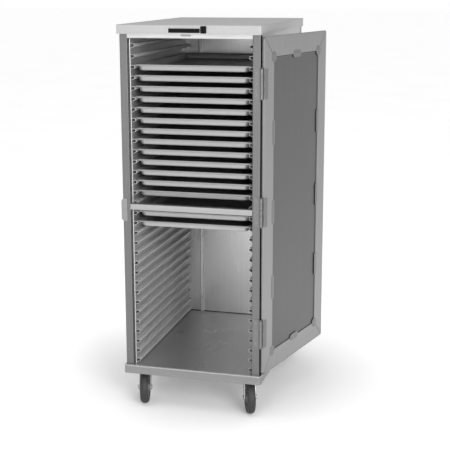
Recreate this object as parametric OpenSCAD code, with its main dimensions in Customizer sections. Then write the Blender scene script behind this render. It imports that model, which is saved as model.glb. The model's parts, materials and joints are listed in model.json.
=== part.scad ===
// Insulated pan-transport cabinet on swivel casters, with its door standing open
// and sheet pans on its slides. Millimetres, +Z up, front towards -Y.

/* [Cabinet] */
// Width across the outer faces of the corner posts
cabinet_w = 536; // [520:1:560]
// Depth from the front posts' faces to the back skin
cabinet_d = 772; // [760:1:800]
// Overall height above the floor
cabinet_h = 1484; // [1476:1:1500]
// Width of a corner post, seen from the front
post_w = 30; // [26:1:32]
// Depth of a corner post
post_d = 25; // [22:1:28]
// Wall of the square tubes
tube_t = 2; // [1.5:0.5:3]
// Thickness of the skins and liners
sheet_t = 1.2; // [0.8:0.1:2]
// Distance between the two side liners
inside_w = 470; // [466:1:474]
// Distance from the front posts' faces to the back liner
inside_d = 734; // [725:1:740]

/* [Top cover] */
// Width of the top cover
cover_w = 546; // [540:1:552]
// Depth of the top cover
cover_d = 801; // [790:1:820]
// Height of the cover's skirt
cover_skirt = 34; // [28:1:40]
// How far the cover stands out past the front posts
cover_front = 18; // [16:1:24]
// Radius of the cover's upright corners
cover_r = 8; // [4:1:12]

/* [Base] */
// Width of the base
base_w = 552; // [546:1:560]
// How far the base stands out past the front posts
base_front = 13; // [10:1:16]
// How far the base stands out past the back skin
base_back = 11; // [8:1:14]
// Height of the base rim and deck together
base_h = 33; // [28:1:33]
// Height of the deck's top face above the floor
deck_z = 165; // [165:1:168]
// Thickness of the deck plate
deck_t = 3; // [2:0.5:4]
// Width of the base's square tubes
base_tube_w = 25; // [20:1:30]

/* [Pan slides and pans] */
// Number of ledges on each side
ledge_count = 32; // [24:1:32]
// Spacing of the ledges
ledge_pitch = 39.7; // [39:0.1:40]
// Height of the top ledge above the floor
top_ledge_z = 1412; // [1408:1:1416]
// How far a ledge stands out from the side liner
ledge_reach = 15; // [13:0.5:16]
// Height of a ledge where it meets the liner
ledge_h = 16; // [12:1:16]
// Width of a pan across its rim
pan_w = 457; // [453:1:459]
// Length of a pan across its rim
pan_l = 660; // [640:1:665]
// Height of a pan
pan_h = 25; // [20:1:28]
// Thickness of a pan's sheet
pan_t = 1.2; // [1:0.1:2]
// Width of a pan's rim
pan_rim = 10; // [8:0.5:12]

/* [Door] */
// Width of the door
door_w = 544; // [538:1:548]
// Thickness of the door
door_t = 9; // [8:0.5:10]
// Width of the flange around the door's inner panel
flange_w = 75; // [65:1:85]
// How far the door stands open
door_open = 256; // [0:1:264]
// Height of a hinge
hinge_h = 110; // [90:1:120]

/* [Casters] */
// Radius of a caster's wheel
wheel_r = 63.5; // [60:0.5:64]
// Width of a caster's tyre
tyre_w = 32; // [28:1:34]
// How far a wheel trails behind its kingpin
trail = 36; // [30:1:40]

/* [Hidden] */
$fn = 64;
gap = 0.4;                       // kept between parts that pass each other
running = 0.05;                  // clearance of a pin in its hole

half_w = cabinet_w / 2;
inside_x = inside_w / 2;
cover_z = cabinet_h - cover_skirt;             // lower edge of the cover's skirt
cover_y = -cover_front;
ceiling_z = 1434;                              // underside of the header rail and ceiling
base_d = base_front + cabinet_d + base_back;
base_r = 14;                                   // radius of the base's upright corners
post_h = cabinet_h - sheet_t - deck_z;
insulation_t = half_w - inside_x - 2 * sheet_t;
batten = [16, 6];                              // width and depth of the back liner's batten
batten_x = -168;
ledge_nose = 10;                               // height of a ledge's upright face
ledge_t = 1.5;                                 // thickness of a ledge's sheet

// Pans: the first slots in use, counted down from the top ledge
upper_pans = 13;
upper_first = 2;
lower_pans = 2;
lower_first = 16;
pan_y = post_d + 1 + gap;
pan_rim_t = 4;
pan_inset = 6;                                 // step from the rim's inner edge to the wall

// Rail across the front between the upper and the lower slots
mid_rail_z = 788;
mid_rail_h = 23;

// Door, drawn shut with its front face at -door_front, then swung about the pivot
door_gap = 3;
door_front = door_t + door_gap;
pivot = [274.5, -door_front];
hinge_r = 5.5;
pin_r = 2.5;
edge_off = 6.2;                                // from the pivot to the door's near edge
door_x1 = pivot[0] - edge_off;
door_x0 = door_x1 - door_w;
door_z0 = deck_z + 9;
door_z1 = cover_z - 5;
flange_t = 1.5;
panel_step = 2.8;                              // depth of the inner panel below the flange
leaf_t = 1.3;
hinge_z = [335, 804, 1276];
knuckles = 5;
leaf_x = half_w - 24 - pivot[0];               // a leaf's far edge, from the pivot
leaf_screw_z = [-40, 0, 40];
leaf_screw_r = 3.2;
frame_screw_x = half_w - 13;
door_screw_x = -edge_off - 9;                  // from the pivot
strike_t = 2.2;
strike_x = -half_w + 11;
strike_screw_r = 4;
clip_t = 1.3;
latch_z = 787;
lever_axis = [door_x0 + 52, -door_front - 13];
lever_pin_r = 3;

// Casters: kingpin places, and the way each one trails
king_x = 211;
king_y = [65, 711];
trail_left = -77;
trail_right = -69;
plate_z = deck_z - deck_t;
crown_z = 146;
fork_in = tyre_w / 2 + 3.2;                    // inner half-gap of a fork
fork_t = 4;
axle_r = 6;
king_r = 6;

// Extent of the whole, which sets the origin at the bottom centre of it
door_dir = 180 + door_open;
tip_x = pivot[0] + (edge_off + door_w) * cos(door_dir) + door_t * sin(door_dir);
front_reach = king_y[0] + trail * sin(trail_left) - wheel_r + 1;
origin_x = (tip_x - base_w / 2) / 2;
origin_y = (cover_y + cover_d + front_reach) / 2;

// ---- helpers ----

module placed() translate([-origin_x, -origin_y, 0]) children();

// A box between two opposite corners
module block(low, high) translate(low) cube(high - low);

// A rectangle with round corners, from its low corner
module round_rect(size, r) {
    translate([r, 0]) square([size[0] - 2 * r, size[1]]);
    translate([0, r]) square([size[0], size[1] - 2 * r]);
    for (x = [r, size[0] - r], y = [r, size[1] - r]) translate([x, y]) circle(r);
}

// The right-hand copy of something drawn on the left
module on_right(flip) mirror([flip ? 1 : 0, 0, 0]) children();

// A disc lying in an upright plane, from y towards -Y
module disc(x, y, z, r, h) translate([x, y, z]) rotate([90, 0, 0]) cylinder(r = r, h = h);

// Swings the door's parts from shut to open
module door_place() placed()
    translate([pivot[0], pivot[1], 0]) rotate(door_open) translate([-pivot[0], -pivot[1], 0])
        children();

// ---- base and frame ----

// A channel that opens inwards, bent round the four sides
module base_rim() color("silver") placed() {
    h = base_h - deck_t;
    inner = base_tube_w;
    translate([-base_w / 2, -base_front, deck_z - base_h]) difference() {
        linear_extrude(h) round_rect([base_w, base_d], base_r);
        block([inner, inner, -1], [base_w - inner, base_d - inner, h + 1]);
        block([tube_t, tube_t, tube_t], [base_w - tube_t, base_d - tube_t, h - tube_t]);
    }
}

module deck() color("gainsboro") placed()
    translate([-base_w / 2, -base_front, deck_z - deck_t])
        linear_extrude(deck_t) round_rect([base_w, base_d], base_r);

module post(flip, rear) color("darkgray") placed() on_right(flip)
    translate([-half_w, rear ? cabinet_d - sheet_t - post_d : 0, deck_z])
        linear_extrude(post_h) difference() {
            square([post_w, post_d]);
            translate([tube_t, tube_t]) square([post_w - 2 * tube_t, post_d - 2 * tube_t]);
        }

module post_front_left() post(false, false);
module post_front_right() post(true, false);
module post_rear_left() post(false, true);
module post_rear_right() post(true, true);

// A tray turned over, with a pressed-down edge for a skirt
module top_cover() color("silver") placed()
    translate([-cover_w / 2, cover_y, cover_z]) difference() {
        linear_extrude(cover_skirt) round_rect([cover_w, cover_d], cover_r);
        translate([sheet_t, sheet_t, -1]) linear_extrude(cover_skirt + 1 - sheet_t)
            round_rect([cover_w - 2 * sheet_t, cover_d - 2 * sheet_t], cover_r - sheet_t);
    }

module ceiling_panel() color("dimgray") placed()
    block([-inside_x, post_d, ceiling_z], [inside_x, inside_d, ceiling_z + sheet_t]);

module header_rail() color("silver") placed() front_rail(ceiling_z, cabinet_h - sheet_t - ceiling_z);
module mid_rail() color("silver") placed() front_rail(mid_rail_z, mid_rail_h);

// A channel between the front posts, open at the back
module front_rail(z, h) {
    reach = half_w - post_w;
    difference() {
        block([-reach, 0, z], [reach, post_d - tube_t, z + h]);
        block([-reach - 1, tube_t, z + tube_t], [reach + 1, post_d, z + h - tube_t]);
    }
}

// ---- skins, liners and the filling between them ----

module side_skin(flip) color("lightgray") placed() on_right(flip)
    block([-half_w, post_d, deck_z], [-half_w + sheet_t, cabinet_d - sheet_t - post_d, cover_z + 20]);

module side_skin_left() side_skin(false);
module side_skin_right() side_skin(true);

module back_skin() color("lightgray") placed()
    block([-half_w, cabinet_d - sheet_t, deck_z], [half_w, cabinet_d, cover_z + 20]);

// A sheet with a narrow flange turned outwards behind the post
module side_liner(flip) color("dimgray") placed() on_right(flip) {
    block([-inside_x - sheet_t, post_d, deck_z], [-inside_x, inside_d, ceiling_z]);
    block([-inside_x - 8, post_d, deck_z], [-inside_x - sheet_t, post_d + sheet_t, ceiling_z]);
}

module side_liner_left() side_liner(false);
module side_liner_right() side_liner(true);

module back_liner() color("gray") placed() {
    block([-inside_x - sheet_t, inside_d, deck_z],
        [inside_x + sheet_t, inside_d + sheet_t, ceiling_z + sheet_t]);
    block([batten_x - batten[0] / 2, inside_d - batten[1], deck_z],
        [batten_x + batten[0] / 2, inside_d, ceiling_z]);
}

// One row of ledges, each a strip of sheet bent to a flat top, an upright face and a slope
// back to the liner
module pan_slides(flip) color("silver") placed() on_right(flip)
    for (i = [0 : ledge_count - 1])
        translate([-inside_x, inside_d - 2, top_ledge_z - i * ledge_pitch]) rotate([90, 0, 0])
            linear_extrude(inside_d - post_d - 4)
                difference() {
                    ledge_outline(0);
                    ledge_outline(ledge_t);
                }

// A ledge's outline, or the hollow behind it, open to the liner
module ledge_outline(inset) {
    reach = ledge_reach - inset;
    back = inset > 0 ? -1 : 0;
    slope = (ledge_h - ledge_nose) / ledge_reach;
    lift = inset * norm([1, slope]);
    polygon([[back, -inset], [reach, -inset], [reach, lift - inset * slope - ledge_nose],
        [back, lift + back * slope - ledge_h]]);
}

module pan_slides_left() pan_slides(false);
module pan_slides_right() pan_slides(true);

// Slabs in the two sides, the back and the roof
module wall_insulation() color("khaki") placed() {
    air = 0.5;
    y0 = post_d + sheet_t + air;
    y1 = cabinet_d - sheet_t - post_d - air;
    for (flip = [false, true]) on_right(flip)
        block([-half_w + sheet_t + air, y0, deck_z + air],
            [-inside_x - sheet_t - air, y1, ceiling_z - air]);
    block([-inside_x, inside_d + sheet_t + air, deck_z + air],
        [inside_x, cabinet_d - sheet_t - air, ceiling_z]);
    block([-inside_x, post_d + air, ceiling_z + sheet_t + air],
        [inside_x, y1, cabinet_h - sheet_t - air]);
}

// ---- small parts on the cabinet ----

// A blank plate with an end block, and a tab below the skirt behind them
module label_plate() color("black") placed() {
    block([-73, cover_y - 2, cover_z + 4], [49, cover_y, cover_z + 23]);
    block([49, cover_y - 4, cover_z + 4], [71, cover_y, cover_z + 30]);
    block([-31, -2, cover_z - 8], [9, 0, cover_z + 2]);
}

// A keeper folded round the left post's corner
module latch_strike() color("silver") placed() {
    z0 = latch_z - 44;
    z1 = latch_z + 44;
    t = strike_t;
    difference() {
        translate([0, 0, z0]) rotate([90, 0, 0]) linear_extrude(t) polygon([
            [-half_w - 6, 8], [-half_w + 2, 0], [-half_w + 18, 0],
            [-half_w + 18, z1 - z0], [-half_w + 2, z1 - z0], [-half_w - 6, z1 - z0 - 8]]);
        disc(strike_x, 1, latch_z, strike_screw_r + running, 5);
    }
    block([-half_w - 6, 0, z0 + 10], [-half_w, 18, z1 - 10]);
}

// Flush heads in the strike and the frame leaves, and two round heads on the left post
module cabinet_screws() color("gainsboro") placed() {
    disc(strike_x, 0, latch_z, strike_screw_r, strike_t);
    for (z = [latch_z + 75, latch_z - 560]) disc(strike_x, 0, z, 3, 1.4);
    for (z = hinge_z, dz = leaf_screw_z) disc(frame_screw_x, 0, z + dz, leaf_screw_r, leaf_t);
}

// Knuckles of one leaf: every other one from the first, each with a tongue that runs to its
// leaf, which ends that far short of the pivot
module knuckle_row(first, reach, edge) {
    step = hinge_h / knuckles;
    for (i = [first : 2 : knuckles - 1]) translate([0, 0, -hinge_h / 2 + i * step + gap / 2]) {
        difference() {
            union() {
                cylinder(r = hinge_r, h = step - gap);
                block([-edge, 0, 0], [-hinge_r + leaf_t, reach, step - gap]);
            }
            translate([0, 0, -1]) cylinder(r = pin_r + running, h = step + 2);
        }
    }
}

// Leaves screwed to the right post, reaching round to the pivot
module hinge_frame_leaves() color("gainsboro") placed() for (z = hinge_z)
    translate([pivot[0], pivot[1], z]) {
        knuckle_row(0, door_front, edge_off - gap);
        difference() {
            block([leaf_x, door_front - leaf_t, -hinge_h / 2],
                [gap - edge_off, door_front, hinge_h / 2]);
            for (dz = leaf_screw_z)
                disc(frame_screw_x - pivot[0], door_front + 1, dz, leaf_screw_r + running, 5);
        }
    }

// ---- casters ----

function kings() = [[-1, 0], [1, 0], [-1, 1], [1, 1]];
function trail_way(side) = side < 0 ? trail_left : trail_right;

// Draws a caster part under one corner, with its wheel trailing along +X
module at_caster(side, rear) placed()
    translate([side * king_x, king_y[rear], 0]) rotate(trail_way(side)) children();

// Top plate, race, kingpin and its retaining disc, all fixed to the deck
module caster_plates() color("silver") for (k = kings()) placed()
    translate([k[0] * king_x, king_y[k[1]], 0]) {
        block([-40, -40, plate_z - 3], [40, 40, plate_z]);
        translate([0, 0, crown_z + 4.9]) cylinder(r = 30, h = plate_z - 3 - crown_z - 4.9);
        translate([0, 0, crown_z - 0.4]) cylinder(r = king_r, h = 5.3);
        translate([0, 0, crown_z - 4.4]) cylinder(r = 10, h = 4);
    }

// Side view of one leg of a fork, from the crown down to the axle
module leg_outline() {
    difference() {
        hull() {
            translate([trail, wheel_r]) circle(r = 13, $fn = 32);
            translate([-22, crown_z]) square([46, 4.5]);
        }
        translate([trail, wheel_r]) circle(r = axle_r - 0.5);
    }
}

module caster_fork(side, rear) color("lightgray") at_caster(side, rear) {
    difference() {
        translate([0, 0, crown_z]) linear_extrude(4.5) union() {
            circle(r = 28);
            translate([-22, -fork_in - fork_t]) square([46, 2 * (fork_in + fork_t)]);
        }
        translate([0, 0, crown_z - 1]) cylinder(r = king_r + running, h = 8);
    }
    for (s = [-1, 1]) translate([0, s > 0 ? fork_in + fork_t : -fork_in, 0])
        rotate([90, 0, 0]) linear_extrude(fork_t) leg_outline();
    translate([trail, 0, wheel_r]) rotate([90, 0, 0]) {
        cylinder(r = axle_r, h = 2 * fork_in, center = true);
        for (s = [-1, 1]) translate([0, 0, s * (fork_in + fork_t + 2.5)])
            cylinder(r = 9, h = 5, center = true, $fn = 6);
    }
}

module wheel_hub(side, rear) color("gray") at_caster(side, rear)
    translate([trail, 0, wheel_r]) rotate([90, 0, 0]) rotate_extrude($fn = 96) {
        bore = axle_r + running;
        translate([bore, -fork_in + 0.5]) square([10, 2 * fork_in - 1]);
        translate([bore + 10, -4]) square([26, 8]);
        translate([bore + 36, -tyre_w / 2 + 3]) square([46 - bore - 36, tyre_w - 6]);
    }

module wheel_tyre(side, rear) color("dimgray") at_caster(side, rear)
    translate([trail, 0, wheel_r]) rotate([90, 0, 0]) rotate_extrude($fn = 96)
        polygon([[46, -tyre_w / 2 + 2], [wheel_r - 5, -tyre_w / 2], [wheel_r - 1, -tyre_w / 2 + 4],
            [wheel_r, -6], [wheel_r, 6], [wheel_r - 1, tyre_w / 2 - 4], [wheel_r - 5, tyre_w / 2],
            [46, tyre_w / 2 - 2]]);

module caster_fork_front_left() caster_fork(-1, 0);
module caster_fork_front_right() caster_fork(1, 0);
module caster_fork_rear_left() caster_fork(-1, 1);
module caster_fork_rear_right() caster_fork(1, 1);
module wheel_hub_front_left() wheel_hub(-1, 0);
module wheel_hub_front_right() wheel_hub(1, 0);
module wheel_hub_rear_left() wheel_hub(-1, 1);
module wheel_hub_rear_right() wheel_hub(1, 1);
module wheel_tyre_front_left() wheel_tyre(-1, 0);
module wheel_tyre_front_right() wheel_tyre(1, 0);
module wheel_tyre_rear_left() wheel_tyre(-1, 1);
module wheel_tyre_rear_right() wheel_tyre(1, 1);

// ---- door, drawn shut ----

// Outer sheet with its four edges folded in towards the cabinet
module door_skin() color("silver") door_place() difference() {
    block([door_x0, -door_front, door_z0], [door_x1, -door_gap, door_z1]);
    block([door_x0 + sheet_t, -door_front + sheet_t, door_z0 + sheet_t],
        [door_x1 - sheet_t, 1, door_z1 - sheet_t]);
}

// Four flat flanges, mitred at the corners
module door_frame() color("silver") door_place() {
    x0 = door_x0 + sheet_t;
    x1 = door_x1 - sheet_t;
    z0 = door_z0 + sheet_t;
    z1 = door_z1 - sheet_t;
    w = flange_w - sheet_t;
    outer = [[x0, z0], [x1, z0], [x1, z1], [x0, z1]];
    inner = [[x0 + w, z0 + w], [x1 - w, z0 + w], [x1 - w, z1 - w], [x0 + w, z1 - w]];
    for (i = [0 : 3]) let (j = (i + 1) % 4)
        translate([0, -door_gap, 0]) rotate([90, 0, 0]) linear_extrude(flange_t)
            polygon([outer[i], outer[j], inner[j], inner[i]]);
}

module door_panel() color("darkgray") door_place()
    block([door_x0 + 8, -door_gap - panel_step - sheet_t, door_z0 + 8],
        [door_x1 - 8, -door_gap - panel_step, door_z1 - 8]);

module door_insulation() color("khaki") door_place()
    block([door_x0 + 2, -door_front + sheet_t + 0.2, door_z0 + 2],
        [door_x1 - 2, -door_gap - panel_step - sheet_t - 0.2, door_z1 - 2]);

// Oval retaining clips over the seam between the flange and the panel
module door_clips() color("silver") door_place() {
    x0 = door_x0 + flange_w;
    x1 = door_x1 - flange_w;
    z0 = door_z0 + flange_w;
    z1 = door_z1 - flange_w;
    for (x = [x0, x1]) {
        for (z = [502, 795, 1093]) clip(x, z, [20, 95]);
        for (z = [z0, z1]) clip(x, z, [40, 40]);
    }
    for (z = [z0, z1]) clip((x0 + x1) / 2, z, [70, 27]);
}

module clip(x, z, size) {
    r = min(size) / 2;
    translate([x, -door_gap, z]) rotate([-90, 0, 0]) translate([-size[0] / 2, -size[1] / 2, 0])
        linear_extrude(clip_t) if (size[0] == size[1]) translate([r, r]) circle(r);
            else round_rect(size, r - 0.01);
}

module hinge_door_leaves() color("gainsboro") door_place() for (z = hinge_z)
    translate([pivot[0], pivot[1], z]) {
        knuckle_row(1, door_t + leaf_t, edge_off);
        difference() {
            block([leaf_x, door_t, -hinge_h / 2], [-edge_off, door_t + leaf_t, hinge_h / 2]);
            for (dz = leaf_screw_z) disc(door_screw_x, door_front, dz, leaf_screw_r + running, 5);
        }
        for (dz = leaf_screw_z) disc(door_screw_x, door_t + leaf_t, dz, leaf_screw_r, leaf_t);
    }

module hinge_pins() color("silver") door_place() for (z = hinge_z)
    translate([pivot[0], pivot[1], z]) {
        cylinder(r = pin_r, h = hinge_h + 2, center = true);
        translate([0, 0, hinge_h / 2 + 1]) cylinder(r = hinge_r - 0.5, h = 2);
    }

// Latch on the door's front, near its free edge: a base with two ears and a pin
module latch_housing() color("gray") door_place() {
    x0 = door_x0 + 8;
    difference() {
        block([x0, -door_front - 18, latch_z - 40], [x0 + 62, -door_front, latch_z + 40]);
        block([x0 + 6, -door_front - 19, latch_z - 32], [x0 + 63, -door_front - 5, latch_z + 32]);
    }
    translate([lever_axis[0], lever_axis[1], latch_z - 33]) cylinder(r = lever_pin_r, h = 66);
}

// A paddle that swings out about an upright pin
module latch_lever() color("silver") door_place() {
    difference() {
        union() {
            translate([lever_axis[0], lever_axis[1], latch_z - 30]) cylinder(r = 6, h = 60);
            block([door_x0 + 18, lever_axis[1] - 3, latch_z - 30],
                [lever_axis[0], lever_axis[1] + 1, latch_z + 30]);
        }
        translate([lever_axis[0], lever_axis[1], latch_z - 31])
            cylinder(r = lever_pin_r + running, h = 62);
    }
}

// ---- pans ----

function pan_slot(i) = i < upper_pans ? upper_first + i : lower_first + i - upper_pans;

// A shallow tray whose rim rests on a pair of ledges
module pan(i) color("whitesmoke") placed()
    translate([-pan_w / 2, pan_y, top_ledge_z - pan_slot(i) * ledge_pitch + gap]) {
        low = pan_rim + pan_inset;
        floor_z = pan_rim_t - pan_h;
        difference() {
            union() {
                linear_extrude(pan_rim_t) round_rect([pan_w, pan_l], 18);
                translate([low, low, floor_z]) linear_extrude(pan_h)
                    round_rect([pan_w - 2 * low, pan_l - 2 * low], 20);
            }
            translate([low + pan_t, low + pan_t, floor_z + pan_t]) linear_extrude(pan_h)
                round_rect([pan_w - 2 * (low + pan_t), pan_l - 2 * (low + pan_t)], 20 - pan_t);
        }
    }

module pan_01() pan(0);
module pan_02() pan(1);
module pan_03() pan(2);
module pan_04() pan(3);
module pan_05() pan(4);
module pan_06() pan(5);
module pan_07() pan(6);
module pan_08() pan(7);
module pan_09() pan(8);
module pan_10() pan(9);
module pan_11() pan(10);
module pan_12() pan(11);
module pan_13() pan(12);
module pan_14() pan(13);
module pan_15() pan(14);

base_rim();
deck();
post_front_left();
post_front_right();
post_rear_left();
post_rear_right();
top_cover();
ceiling_panel();
header_rail();
mid_rail();
side_skin_left();
side_skin_right();
back_skin();
side_liner_left();
side_liner_right();
back_liner();
pan_slides_left();
pan_slides_right();
wall_insulation();
label_plate();
latch_strike();
cabinet_screws();
hinge_frame_leaves();
caster_plates();
door_skin();
door_frame();
door_panel();
door_insulation();
door_clips();
hinge_door_leaves();
hinge_pins();
latch_housing();
latch_lever();
caster_fork_front_left();
caster_fork_front_right();
caster_fork_rear_left();
caster_fork_rear_right();
wheel_hub_front_left();
wheel_hub_front_right();
wheel_hub_rear_left();
wheel_hub_rear_right();
wheel_tyre_front_left();
wheel_tyre_front_right();
wheel_tyre_rear_left();
wheel_tyre_rear_right();
pan_01();
pan_02();
pan_03();
pan_04();
pan_05();
pan_06();
pan_07();
pan_08();
pan_09();
pan_10();
pan_11();
pan_12();
pan_13();
pan_14();
pan_15();
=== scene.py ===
import json
import math
import random

import bmesh
import bpy
from mathutils import Matrix, Vector


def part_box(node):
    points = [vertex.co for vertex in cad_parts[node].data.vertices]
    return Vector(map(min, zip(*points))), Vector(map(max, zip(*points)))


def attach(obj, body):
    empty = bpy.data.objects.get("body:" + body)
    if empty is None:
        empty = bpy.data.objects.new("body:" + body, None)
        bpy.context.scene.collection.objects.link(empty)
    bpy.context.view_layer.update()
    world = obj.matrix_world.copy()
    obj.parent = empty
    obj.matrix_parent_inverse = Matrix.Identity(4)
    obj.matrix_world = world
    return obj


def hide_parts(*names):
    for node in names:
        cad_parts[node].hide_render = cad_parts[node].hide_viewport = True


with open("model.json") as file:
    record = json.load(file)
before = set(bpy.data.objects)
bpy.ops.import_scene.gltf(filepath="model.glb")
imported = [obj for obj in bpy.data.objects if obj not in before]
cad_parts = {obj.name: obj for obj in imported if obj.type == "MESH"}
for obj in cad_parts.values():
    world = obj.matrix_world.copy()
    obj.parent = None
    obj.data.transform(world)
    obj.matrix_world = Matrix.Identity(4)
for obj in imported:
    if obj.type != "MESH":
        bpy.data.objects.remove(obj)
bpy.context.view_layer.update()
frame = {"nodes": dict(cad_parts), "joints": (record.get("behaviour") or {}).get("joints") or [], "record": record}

random.seed(11)

# ---- frames: millimetres, with x and y from the middle of the post fronts and z from the floor ----

MM = 0.001
cover_low, cover_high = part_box("top_cover")
post_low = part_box("post_front_left")[0]
CABINET = (Matrix.Translation(((cover_low.x + cover_high.x) / 2, post_low.y, 0))
           @ Matrix.Scale(MM, 4))
JOINT = {j["name"]: j for j in frame["joints"]}
hinge_at = CABINET.inverted() @ Vector(JOINT["door_hinge"]["pos_m"])
door_open = -math.radians(JOINT["door_hinge"]["range_deg"][0])
# The door is drawn shut in cabinet coordinates and swung open about its hinge
DOOR = (CABINET @ Matrix.Translation(hinge_at) @ Matrix.Rotation(door_open, 4, "Z")
        @ Matrix.Translation(-hinge_at))
CORNERS = ("front_left", "front_right", "rear_left", "rear_right")


def box_in(node, place):
    """Lowest and highest corners of a CAD node in a frame's millimetres."""
    back = place.inverted()
    points = [back @ v.co for v in frame["nodes"][node].data.vertices]
    return (Vector([min(p[i] for p in points) for i in range(3)]),
            Vector([max(p[i] for p in points) for i in range(3)]))


def caster_place(corner):
    """A frame with its origin on the floor under the kingpin and +X towards the axle."""
    king = Vector(JOINT["caster_swivel_" + corner]["pos_m"])
    axle = Vector(JOINT["wheel_roll_" + corner]["pos_m"])
    turn = math.atan2(axle.y - king.y, axle.x - king.x)
    return (Matrix.Translation((king.x, king.y, 0)) @ Matrix.Rotation(turn, 4, "Z")
            @ Matrix.Scale(MM, 4))


# ---- camera, at the photograph's viewing angle ----

camera = bpy.data.objects.new("camera", bpy.data.cameras.new("camera"))
bpy.context.scene.collection.objects.link(camera)
bpy.context.scene.camera = camera
YAW, PITCH, ROLL = 0.2634, 0.2149, -0.0033
CAMERA_AT = (1115.1, -3700.3, 1636.3)
FOCAL_LENGTH, SHIFT_X, SHIFT_Y = 84.3, 0.0098, -0.03
camera.location = CABINET @ Vector(CAMERA_AT)
camera.rotation_mode = "QUATERNION"
camera.rotation_quaternion = (Matrix.Rotation(YAW, 3, "Z")
                              @ Matrix.Rotation(math.pi / 2 - PITCH, 3, "X")
                              @ Matrix.Rotation(ROLL, 3, "Z")).to_quaternion()
camera.data.sensor_width = 36
camera.data.lens = FOCAL_LENGTH
camera.data.shift_x, camera.data.shift_y = SHIFT_X, SHIFT_Y
camera.data.clip_start, camera.data.clip_end = 0.1, 100

# ---- shape tools, all in millimetres ----

# Where a point (a, b) of an outline lies at h along an axis
ALONG = {"z": lambda a, b, h: (a, b, h), "x": lambda a, b, h: (h, a, b), "y": lambda a, b, h: (a, h, b)}


def rounded(x0, x1, y0, y1, radius, steps=6):
    """Points of a rectangle with round corners, anticlockwise."""
    radius = min(radius, (x1 - x0) / 2 - 0.01, (y1 - y0) / 2 - 0.01)
    points = []
    for cx, cy, start in ((x1 - radius, y1 - radius, 0), (x0 + radius, y1 - radius, 90),
                          (x0 + radius, y0 + radius, 180), (x1 - radius, y0 + radius, 270)):
        for i in range(steps + 1):
            a = math.radians(start + 90 * i / steps)
            points.append((cx + radius * math.cos(a), cy + radius * math.sin(a)))
    return points


def loft(rings, closed=False):
    """Skins rings of points. A closed loft joins the last ring to the first; an open one is capped."""
    bm = bmesh.new()
    rows = [[bm.verts.new(p) for p in ring] for ring in rings]
    n = len(rows[0])
    pairs = list(zip(rows, rows[1:])) + ([(rows[-1], rows[0])] if closed else [])
    for a, b in pairs:
        for i in range(n):
            j = (i + 1) % n
            bm.faces.new((a[i], a[j], b[j], b[i]))
    if not closed:
        bm.faces.new(rows[0][::-1])
        bm.faces.new(rows[-1])
    bmesh.ops.recalc_face_normals(bm, faces=bm.faces)
    return bm


def prism(outline, low, high, along="z", bevel=0.4, rounds=2):
    """An outline drawn out from low to high, with its sharp edges rounded."""
    place = ALONG[along]
    bm = loft([[place(a, b, h) for a, b in outline] for h in (low, high)])
    if bevel:
        sharp = [e for e in bm.edges if e.calc_face_angle(0.0) > math.radians(28)]
        bmesh.ops.bevel(bm, geom=sharp, offset=bevel, segments=rounds, profile=0.5,
                        affect="EDGES", clamp_overlap=True)
    return bm


def block(low, high, bevel=0.4, rounds=2):
    return prism([(low[0], low[1]), (high[0], low[1]), (high[0], high[1]), (low[0], high[1])],
                 low[2], high[2], "z", bevel, rounds)


def round_the_edge(section, x0, x1, y0, y1, radius, along="z", steps=6, closed=True):
    """Carries a section of (inset, height) points round a rectangle with round corners. The
    radius is the outer corner's, or a function that gives it at each inset."""
    place = ALONG[along]
    rings = []
    for inset, height in section:
        r = radius(inset) if callable(radius) else max(radius - inset, 0.6)
        rings.append([place(a, b, height) for a, b in
                      rounded(x0 + inset, x1 - inset, y0 + inset, y1 - inset, r, steps)])
    return loft(rings, closed)


def lathe(profile, segments=32):
    """Turns a closed profile of (radius, height) points about Z."""
    bm = bmesh.new()
    rings = []
    for i in range(segments):
        a = 2 * math.pi * i / segments
        rings.append([bm.verts.new((r * math.cos(a), r * math.sin(a), h)) for r, h in profile])
    n = len(profile)
    for i in range(segments):
        a, b = rings[i], rings[(i + 1) % segments]
        for j in range(n):
            k = (j + 1) % n
            if profile[j][0] < 1e-6 and profile[k][0] < 1e-6:
                continue
            bm.faces.new((a[j], b[j], b[k], a[k]))
    bmesh.ops.remove_doubles(bm, verts=bm.verts, dist=1e-5)
    bmesh.ops.dissolve_degenerate(bm, edges=bm.edges, dist=1e-6)
    bmesh.ops.recalc_face_normals(bm, faces=bm.faces)
    return bm


def rod(radius, low, high, bevel=0.4, segments=32):
    """A round bar on Z with rounded ends."""
    c = min(bevel, radius * 0.6)
    return lathe([(0, low), (radius - c, low), (radius - c * 0.3, low + c * 0.3), (radius, low + c),
                  (radius, high - c), (radius - c * 0.3, high - c * 0.3), (radius - c, high),
                  (0, high)], segments)


def moved(bm, matrix):
    bmesh.ops.transform(bm, matrix=matrix, verts=bm.verts)
    if matrix.determinant() < 0:
        bmesh.ops.reverse_faces(bm, faces=bm.faces)
    return bm


def at(x, y, z, facing="z", turn=0.0):
    """Places something drawn on Z: facing is the way that its +Z looks."""
    face = {"z": Matrix.Identity(4), "-z": Matrix.Rotation(math.pi, 4, "X"),
            "-y": Matrix.Rotation(math.pi / 2, 4, "X"), "y": Matrix.Rotation(-math.pi / 2, 4, "X"),
            "x": Matrix.Rotation(math.pi / 2, 4, "Y"), "-x": Matrix.Rotation(-math.pi / 2, 4, "Y")}
    return Matrix.Translation((x, y, z)) @ face[facing] @ Matrix.Rotation(turn, 4, "Z")


MIRROR = Matrix.Scale(-1, 4, (1, 0, 0))


def sided(shapes, flip):
    """The right-hand copies of shapes drawn on the left."""
    return [moved(s, MIRROR) for s in shapes] if flip else shapes


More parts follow.
